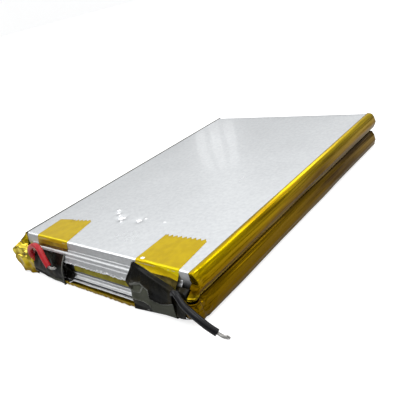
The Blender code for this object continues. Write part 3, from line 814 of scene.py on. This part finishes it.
def fold_front(cell, fold, crumple, t, held, px, y, pz, z):
    """A point of the front end, rolled over to share `t` of its fold, and how loose it is."""
    mid_x, mid_y = plan(fold, "middle", z)
    end_x, end_y = plan(fold, "end", z)
    start = (1 - t) ** 2
    px = start * px + 2 * t * (1 - t) * mix(px, mid_x, held) + t * t * end_x
    y = start * y + 2 * t * (1 - t) * mix(y, mid_y, held) + t * t * end_y
    if crumple > 1:
        pz = mix(pz, min(z, 9.3), t) + (0.5 if cell == "lower_cell" else -0.9) * t
    return px, y, pz, crumple * smoothstep(0.0, 0.3, t) * (0.4 + 0.6 * held)


def close_rear(t, held, middle_z, px, y, pz):
    """A point of the rear end, drawn in to the pouch's wall, and how loose it is."""
    closing = smoothstep(0, 1, t)
    px = mix(px, CUP_HALF_WIDTH - 0.9, closing)
    pz = mix(pz, mix(pz, middle_z, 0.25), closing)
    y += 0.35 * t + 1.3 * math.sin(0.5 * math.pi * min(1, 1.3 * (1 - t))) * t ** 0.3 * held
    px += 0.5 * math.sin(math.pi * t) * held
    return px, y, pz, 0.3 * held * (1 - t)


def crumpled(px, y, pz, loose, seed):
    """The point pushed aside by wide and fine noise, as far as it is loose."""
    wild = noise.noise_vector(Vector((px * 0.36, y * 0.36, pz * 0.36 + seed)))
    fine = noise.noise_vector(Vector((px * 1.4, y * 1.4, pz * 1.4 + seed)))
    push = (0.55 * wild + 0.07 * fine) * loose
    return px + push.x, y + push.y, max(0.06, pz + push.z)


def edge_tape(cell, side, word, seed, crumple, fold, fold_rows, finish):
    """Tape over a folded seal: rolled over at the tab end and closed at the rear."""
    lines = CELLS[cell]
    section = edge_section(cell, -0.9 if side > 0 else -0.2)
    rear = lines["rear"] - 0.2
    middle_z = (lines["top"] + lines["base"]) / 2
    places = [("front", k / fold_rows) for k in range(fold_rows, 0, -1)]
    places += [("side", t) for t in length_steps()]
    places += [("rear", k / 10) for k in range(1, 11)]
    rows = []
    for part, t in places:
        row = []
        for x, z, outward, share in section:
            front = mix(-53.7, -54.3, (13 - z) / 13)
            along = {"front": 0.0, "side": t, "rear": 1.0}[part]
            y = mix(front, rear, along)
            swell, held = edge_swell(share, y, y - front, seed, crumple)
            px, pz = x - outward.x * swell, z - outward.y * swell
            loose = held * crumple * math.exp(-(y - front) / 3)
            if part == "front":
                px, y, pz, loose = fold_front(cell, fold, crumple, t, held, px, y, pz, z)
            elif part == "rear":
                px, y, pz, loose = close_rear(t, held, middle_z, px, y, pz)
            loose += 0.25 * held * math.exp(-max(0.0, rear - y) / 3)
            px, y, pz = crumpled(px, y, pz, loose, seed)
            row.append((side * px, y, pz))
        rows.append(row if side > 0 else row[::-1])
    obj = film(f"{cell}_{word}_tape_wrap", rows, EDGE_AMBER, "amber_tape",
               f"{cell}_{word}_edge_tape", thickness=0.08)
    obj.data.materials.append(finish)
    obj.data.materials.append(OLIVE_AMBER)
    for face in obj.data.polygons:
        row, column = divmod(face.index, SECTION_STEPS - 1)
        if row < fold_rows + 4:
            face.material_index = 1
        # The left tapes' lip along the top face's edge takes the near-black tape colour: painted
        # shade.
        elif side < 0 and column > SECTION_STEPS - 6:
            face.material_index = 2


# Tapes at the tab end


def tooth(x, pitch=1.6, depth=1.05):
    """The saw-tooth of a tape cutter's edge."""
    share = x / pitch - math.floor(x / pitch)
    return depth * abs(2 * share - 1)


def front_tape(word, front_x, rear_x, rear_y, teeth_from, drop, lean, seed):
    """Tape from the top face over the front edge, down by `drop` and out by `lean`.

    Pairs give values at the tape's left and right edges. Returns the object and the shares
    of the way across and down for each face.
    """
    lines = CELLS["upper_cell"]
    top, wall_top = lines["top"], lines["wall_top"]
    columns, flat_rows, fall_rows = 90, 40, 40
    bend = 0.7
    rows = []
    for r in range(flat_rows + fall_rows + 1):
        row = []
        for c in range(columns + 1):
            u = c / columns
            x_front = mix(*front_x, u)
            if r <= flat_rows:
                share = 1 - r / flat_rows
                end_y = mix(*rear_y, u)
                if u > teeth_from:
                    end_y -= tooth((u - teeth_from) * (rear_x[1] - rear_x[0]))
                y = mix(wall_top + bend, end_y, share)
                x = mix(x_front, mix(*rear_x, u), share)
                z = face_height("upper_cell", x, y) + 0.07 + 0.02 * ripple(x * 0.5, y * 0.5, seed)
            else:
                travelled = (r - flat_rows) / fall_rows * (bend * 1.57 + mix(*drop, u))
                x = x_front
                if travelled < bend * 1.57:
                    angle = travelled / bend
                    y = wall_top + bend - (bend + 0.07) * math.sin(angle)
                    z = top - bend + (bend + 0.07) * math.cos(angle)
                else:
                    down = travelled - bend * 1.57
                    z = top - bend - down
                    y = wall_top - 0.09 - mix(*lean, u) * (down / max(0.1, mix(*drop, u))) ** 1.3
                    y -= 0.06 * (1 + ripple(x * 0.4, z * 0.8, seed + 2))
                    x += 0.25 * smoothstep(0, 3, down) * ripple(x * 0.3, z * 0.9, seed + 4)
            row.append((x, y, z))
        rows.append(row)
    obj = film(f"{word}_top_tape", rows, TOP_AMBER, "bright_amber_tape", f"{word}_front_tape",
               thickness=0.07)
    shares = []
    for face in obj.data.polygons:
        r, c = divmod(face.index, columns)
        shares.append((face, c / columns, (r - flat_rows) / fall_rows))
    return obj, shares


def loft(name, ends, steps, columns, finish, slot, *replaced, shape=None, thickness=0.1):
    """A sheet between a left and a right line of points; `shape` gives its relief at (u, v)."""
    left = smooth_line([a for a, b in ends], steps)
    right = smooth_line([b for a, b in ends], steps)
    rows = []
    for r, (a, b) in enumerate(zip(left, right)):
        v = r / (steps - 1)
        run = left[min(r + 1, steps - 1)] - left[max(r - 1, 0)]
        normal = (b - a).cross(run).normalized()
        if normal.y > 0 or (abs(normal.y) < 0.2 and normal.z > 0 and v > 0.5):
            normal = -normal
        row = []
        for c in range(columns + 1):
            u = c / columns
            place = a.lerp(b, u)
            if shape:
                place = place + normal * shape(u, v)
            row.append((place.x, place.y, max(place.z, 0.06)))
        rows.append(row)
    return film(name, rows, finish, slot, *replaced, thickness=thickness)


def bump_line(u, v, points, width, height):
    """A raised ridge along a line of (u, v) points."""
    best = 9.0
    here = Vector((u, v))
    for a, b in zip(points, points[1:]):
        a, b = Vector(a), Vector(b)
        run = b - a
        t = min(1.0, max(0.0, (here - a).dot(run) / run.length_squared))
        best = min(best, (here - (a + run * t)).length)
    return height * math.exp(-(best / width) ** 2)


def left_patch_relief(u, v):
    """How far the left patch stands off its plane: a belly, ripples and two creases."""
    hold = smoothstep(0.0, 0.06, v) * (1 - smoothstep(0.66, 0.8, v))
    relief = 0.15 * math.sin(math.pi * u) * hold
    relief += 0.12 * hold * ripple(u * 5, v * 6, 31.0)
    relief += 0.12 * hold * crease(u * 3, v * 5, 33.0)
    for line in LEFT_LINES:
        relief += bump_line(u, v, line, 0.016, 0.3)
    return relief


# Across and along the patch: the wavy edge of its upper layer, and two blisters
UPPER_LAYER = [(0.0, 0.27), (0.10, 0.25), (0.26, 0.20), (0.32, 0.225), (0.43, 0.245),
               (0.48, 0.33), (0.60, 0.34), (0.76, 0.33), (0.90, 0.29), (1.0, 0.25)]
BLISTER = [(0.0, 0.28), (0.10, 0.25), (0.26, 0.20), (0.31, 0.225), (0.24, 0.315), (0.09, 0.345),
           (0.0, 0.33)]
FOOT_BLISTER = [(0.0, 0.455), (0.12, 0.445), (0.30, 0.43), (0.43, 0.45), (0.44, 0.49)]
LEFT_LINES = [
    [(0.0, 0.46), (0.30, 0.50), (0.62, 0.53), (0.97, 0.50)],
    [(0.985, 0.0), (0.985, 0.62)],
]


def right_patch_relief(u, v):
    """How far the right patch stands off its plane: a belly, a second layer and blisters."""
    hold = smoothstep(0.0, 0.06, v) * (1 - smoothstep(0.60, 0.7, v))
    relief = 0.10 * math.sin(math.pi * u) * hold
    relief += 0.08 * hold * ripple(u * 4, v * 6, 41.0)
    relief += 0.30 * smoothstep(0.012, -0.012, v - table(UPPER_LAYER, u)) * hold
    for line in (UPPER_LAYER, BLISTER, FOOT_BLISTER):
        relief += bump_line(u, v, line, 0.012, 0.35)
    return relief


def crease_share(u, v, lines):
    """How near a place is to the top of one of the creases, from 0 to 1."""
    return max(bump_line(u, v, line, 0.010, 1.0) for line in lines)


def black_tapes():
    """The black patches over the two joints, and the corner beside the right one."""
    left = [
        ((-30.9, -54.7, 9.3), (-14.6, -54.7, 9.4)), ((-31.0, -55.5, 8.2), (-14.6, -55.4, 8.6)),
        ((-31.2, -56.8, 6.3), (-14.6, -56.7, 7.0)), ((-31.3, -57.7, 4.2), (-14.6, -57.7, 4.8)),
        ((-31.4, -57.7, 2.9), (-14.7, -57.9, 2.7)), ((-31.2, -57.4, 1.4), (-15.4, -57.95, 0.7)),
        ((-31.0, -56.5, 0.55), (-15.6, -57.5, 0.12)), ((-31.0, -54.4, 0.08), (-15.6, -54.4, 0.07)),
        ((-31.0, -50.0, 0.06), (-15.6, -50.0, 0.06)),
    ]
    patch = loft("left_black_patch", left, 120, 100, BLACK_TAPE, "black_tape",
                 "left_insulation_tape", shape=left_patch_relief)
    patch.data.materials.append(CREASE_HIGHLIGHT_TAPE)
    patch.data.materials.append(GREY_REFLECTION_TAPE)
    for face in patch.data.polygons:
        v, u = divmod(face.index, 100)
        v, u = v / 119, u / 100
        # Faces on the creases take the light grey tape: painted highlight.
        if crease_share(u, v, LEFT_LINES) > 0.55 + 0.5 * noise.noise((u * 9, v * 9, 1)):
            face.material_index = 1
        # This band takes the grey-olive tape: painted reflection.
        elif 0.51 - 0.03 * u < v < 0.60:
            face.material_index = 2
    right = [
        ((16.4, -53.85, 12.5), (32.2, -56.2, 9.7)), ((16.2, -54.4, 11.2), (32.3, -56.9, 9.2)),
        ((16.6, -56.0, 8.9), (32.4, -57.5, 8.3)), ((17.2, -57.5, 7.2), (32.3, -57.9, 6.8)),
        ((16.9, -58.0, 4.0), (32.1, -58.0, 4.4)), ((16.6, -57.8, 1.8), (31.7, -57.7, 2.4)),
        ((16.3, -57.95, 0.6), (31.4, -57.4, 1.1)), ((16.3, -57.5, 0.12), (31.2, -56.5, 0.45)),
        ((16.3, -54.0, 0.06), (31.2, -54.0, 0.08)), ((16.3, -50.0, 0.06), (31.2, -50.0, 0.06)),
    ]
    patch = loft("right_black_patch", right, 140, 110, BLACK_TAPE, "black_tape",
                 "right_insulation_tape", shape=right_patch_relief)
    patch.data.materials.append(GREY_REFLECTION_TAPE)
    patch.data.materials.append(CREASE_HIGHLIGHT_TAPE)
    for face in patch.data.polygons:
        v, u = divmod(face.index, 110)
        v, u = v / 139, u / 110
        foot = table([(0.0, 0.455), (0.12, 0.445), (0.30, 0.43), (0.43, 0.45), (0.44, 0.60)], u)
        lines = (UPPER_LAYER, BLISTER, FOOT_BLISTER)
        # Faces on the layer edge and blister edges take the light grey tape: painted highlight.
        if v < 0.6 and crease_share(u, v, lines) > 0.6 + 0.6 * noise.noise((u * 7, v * 7, 2)):
            face.material_index = 2
        # The part below the upper layer takes the grey-olive tape: painted reflection.
        elif table(UPPER_LAYER, u) < v < foot:
            face.material_index = 1
    corner = [
        ((16.2, -53.95, 12.3), (17.6, -54.1, 12.1)), ((15.4, -54.9, 10.2), (17.6, -55.4, 10.0)),
        ((14.4, -56.3, 7.9), (17.8, -57.0, 8.2)), ((15.4, -57.0, 7.3), (17.9, -57.7, 7.3)),
        ((17.0, -57.7, 6.9), (18.0, -57.9, 6.9)),
    ]
    loft("right_black_corner", corner, 40, 24, BLACK_TAPE, "black_tape", "right_insulation_tape",
         shape=lambda u, v: 0.25 * math.exp(-(u / 0.12) ** 2) + 0.1 * ripple(u * 3, v * 4, 45.0))


def inner_blacks():
    """Black film on the lower cell's wall, behind each patch."""
    flap = [
        ((-30.6, -55.3, 8.0), (-14.3, -55.3, 8.0)), ((-30.6, -55.8, 6.2), (-13.9, -56.2, 6.6)),
        ((-30.6, -55.8, 4.0), (-12.0, -56.0, 4.2)), ((-30.6, -56.4, 2.8), (-11.3, -56.4, 2.9)),
        ((-30.6, -57.2, 1.6), (-11.8, -57.55, 2.0)), ((-30.6, -57.0, 1.0), (-13.0, -57.6, 1.4)),
    ]
    loft("left_black_flap", flap, 50, 50, BLACK_TAPE, "black_tape", "left_insulation_flap",
         shape=lambda u, v: 0.06 * ripple(u * 5, v * 3, 51.0))
    inner = [
        ((16.4, -55.3, 8.6), (36.2, -55.0, 9.4)), ((16.4, -56.6, 6.8), (36.0, -56.9, 8.0)),
        ((16.4, -57.2, 4.0), (35.6, -57.3, 4.8)), ((16.6, -57.5, 2.0), (34.9, -57.5, 2.4)),
        ((16.8, -57.4, 1.2), (34.3, -57.0, 1.3)), ((16.8, -56.4, 0.4), (34.3, -56.0, 0.5)),
    ]
    loft("right_inner_black", inner, 40, 60, BLACK_TAPE, "black_tape", "right_inner_insulation",
         shape=lambda u, v: 0.2 * ripple(u * 8, v * 4, 53.0))


def low_tapes():
    """The strip on the lower cell's front top edge, and the torn one along its foot."""
    lines = CELLS["lower_cell"]
    strip = [
        ((-11.6, lines["wall_top"] + 4, lines["top"] + 0.07),
         (14.0, lines["wall_top"] + 4, lines["top"] + 0.07)),
        ((-11.6, lines["wall_top"] + 0.5, lines["top"] + 0.07),
         (14.0, lines["wall_top"] + 0.5, lines["top"] + 0.07)),
        ((-11.6, lines["wall_top"] - 0.1, lines["top"] - 0.4),
         (14.0, lines["wall_top"] - 0.1, lines["top"] - 0.4)),
        ((-11.6, lines["wall_top"] - 0.35, lines["top"] - 1.9),
         (14.0, lines["wall_top"] - 0.35, lines["top"] - 1.9)),
    ]
    # The strip takes the darkened khaki tape: painted shade.
    loft("recess_strip", strip, 30, 80, RECESS_SHADED_AMBER, "bright_amber_tape",
         "lower_cell_front_edge_tape", shape=lambda u, v: 0.05 * ripple(u * 12, v * 2, 61.0),
         thickness=0.07)
    foot = [
        ((-14.8, FRONT + 8, 0.06), (16.6, FRONT + 8, 0.06)),
        ((-14.8, FRONT + 1.9, 0.1), (16.6, FRONT + 1.9, 0.06)),
        ((-14.8, FRONT + 0.35, 0.5), (16.6, FRONT + 0.35, 0.35)),
        ((-14.8, FRONT + 0.2, 1.6), (16.6, FRONT + 0.2, 1.6)),
    ]
    loft("foot_strip", foot, 40, 160, FRONT_AMBER, "amber_tape", "bottom_front_tape",
         shape=lambda u, v: (0.10 * ripple(u * 30, v * 5, 63.0)
                             + 0.22 * v * crease(u * 22, v * 3, 65.0)), thickness=0.08)


def finish_cad_nodes():
    """Procedural materials for the frame's own nodes that stay in place."""
    finishes = {
        "pouch_cover": FOIL, "pouch_cup": FOIL, "cathode_plates": CATHODE, "anode_plates": ANODE,
        "separator": SEPARATOR, "stack_band": STACK_TAPE, "positive_tab": ALUMINIUM,
        "negative_tab": NICKEL, "tab_sealant": SEALANT, "adhesive_pad": ADHESIVE,
        "solder_joint": SOLDER, "soldered_tail": TINNED, "tinned_tip": TINNED,
        "red_lead": RED_PVC, "black_lead": BLACK_PVC, "insulation": BLACK_TAPE,
        "flap": BLACK_TAPE, "tape": EDGE_AMBER,
    }
    for name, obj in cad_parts.items():
        ending = [key for key in finishes if name.endswith(key)]
        if not ending:
            ending = [key for key in finishes if key in name]
        finish = finishes[max(ending, key=len)]
        obj.data.materials.clear()
        obj.data.materials.append(finish)


def front_tapes():
    """The two tapes on top, darker where they run over the black film, with a painted highlight
    along the fold and painted shade on the left tape's face down the front.
    """
    left, shares = front_tape("left", (-29.8, -13.6), (-30.8, -16.6), (-43.3, -40.4), 0.42,
                              (3.3, 3.1), (1.0, 0.8), 71.0)
    for finish in (BROWN_AMBER, FOLD_HIGHLIGHT_AMBER, FRONT_AMBER):
        left.data.materials.append(finish)
    for face, u, fall in shares:
        if fall > 0.62 + 0.05 * ripple(u * 6, 0.0, 73.0):
            face.material_index = 1
        # The part that runs down the front takes the darker amber: painted shade.
        elif fall > 0.34:
            face.material_index = 3
        # The band along the fold takes the bright amber: painted highlight.
        elif 0.0 < fall < 0.09:
            face.material_index = 2
    right, shares = front_tape("right", (17.1, 32.6), (16.9, 31.4), (-40.6, -39.7), 0.0,
                               (0.15, 3.6), (0.1, 2.9), 75.0)
    for finish in (OLIVE_AMBER, KHAKI_AMBER, FOLD_HIGHLIGHT_AMBER, GLINT):
        right.data.materials.append(finish)
    for face, u, fall in shares:
        if fall > 0.86 and u > 0.08:
            face.material_index = 2
        elif fall > 1.0 - 0.42 * smoothstep(0.1, 0.9, u):
            face.material_index = 1
        # The band along the fold takes the bright amber: painted highlight.
        elif 0.0 < fall < 0.10 + 0.30 * u:
            face.material_index = 3
        # A small fleck on the right tape takes the glowing pale foil: painted glint.
        if math.hypot(face.center.x / MM - 19.0, (face.center.y / MM + 52.4) * 1.4) < 0.7:
            face.material_index = 4


bpy.context.scene.view_settings.view_transform = "Standard"
place_camera()
place_lights()
place_floor()
leads()
for cell in CELLS:
    cup(cell)
    cover(cell)
    terrace(cell)
    seal_fold(cell, -1, "left")
    seal_fold(cell, 1, "right")
edge_tape("upper_cell", 1, "right", 101.0, 0.75, RIGHT_FOLD, 18, EDGE_AMBER)
edge_tape("lower_cell", 1, "right", 113.0, 0.98, RIGHT_FOLD, 24, EDGE_AMBER)
edge_tape("upper_cell", -1, "left", 127.0, 1.5, LEFT_FOLD, 40, LOOSE_AMBER)
edge_tape("lower_cell", -1, "left", 139.0, 1.5, LEFT_FOLD, 40, LOOSE_AMBER)
sealant_strips()
front_tapes()
black_tapes()
inner_blacks()
low_tapes()
finish_cad_nodes()
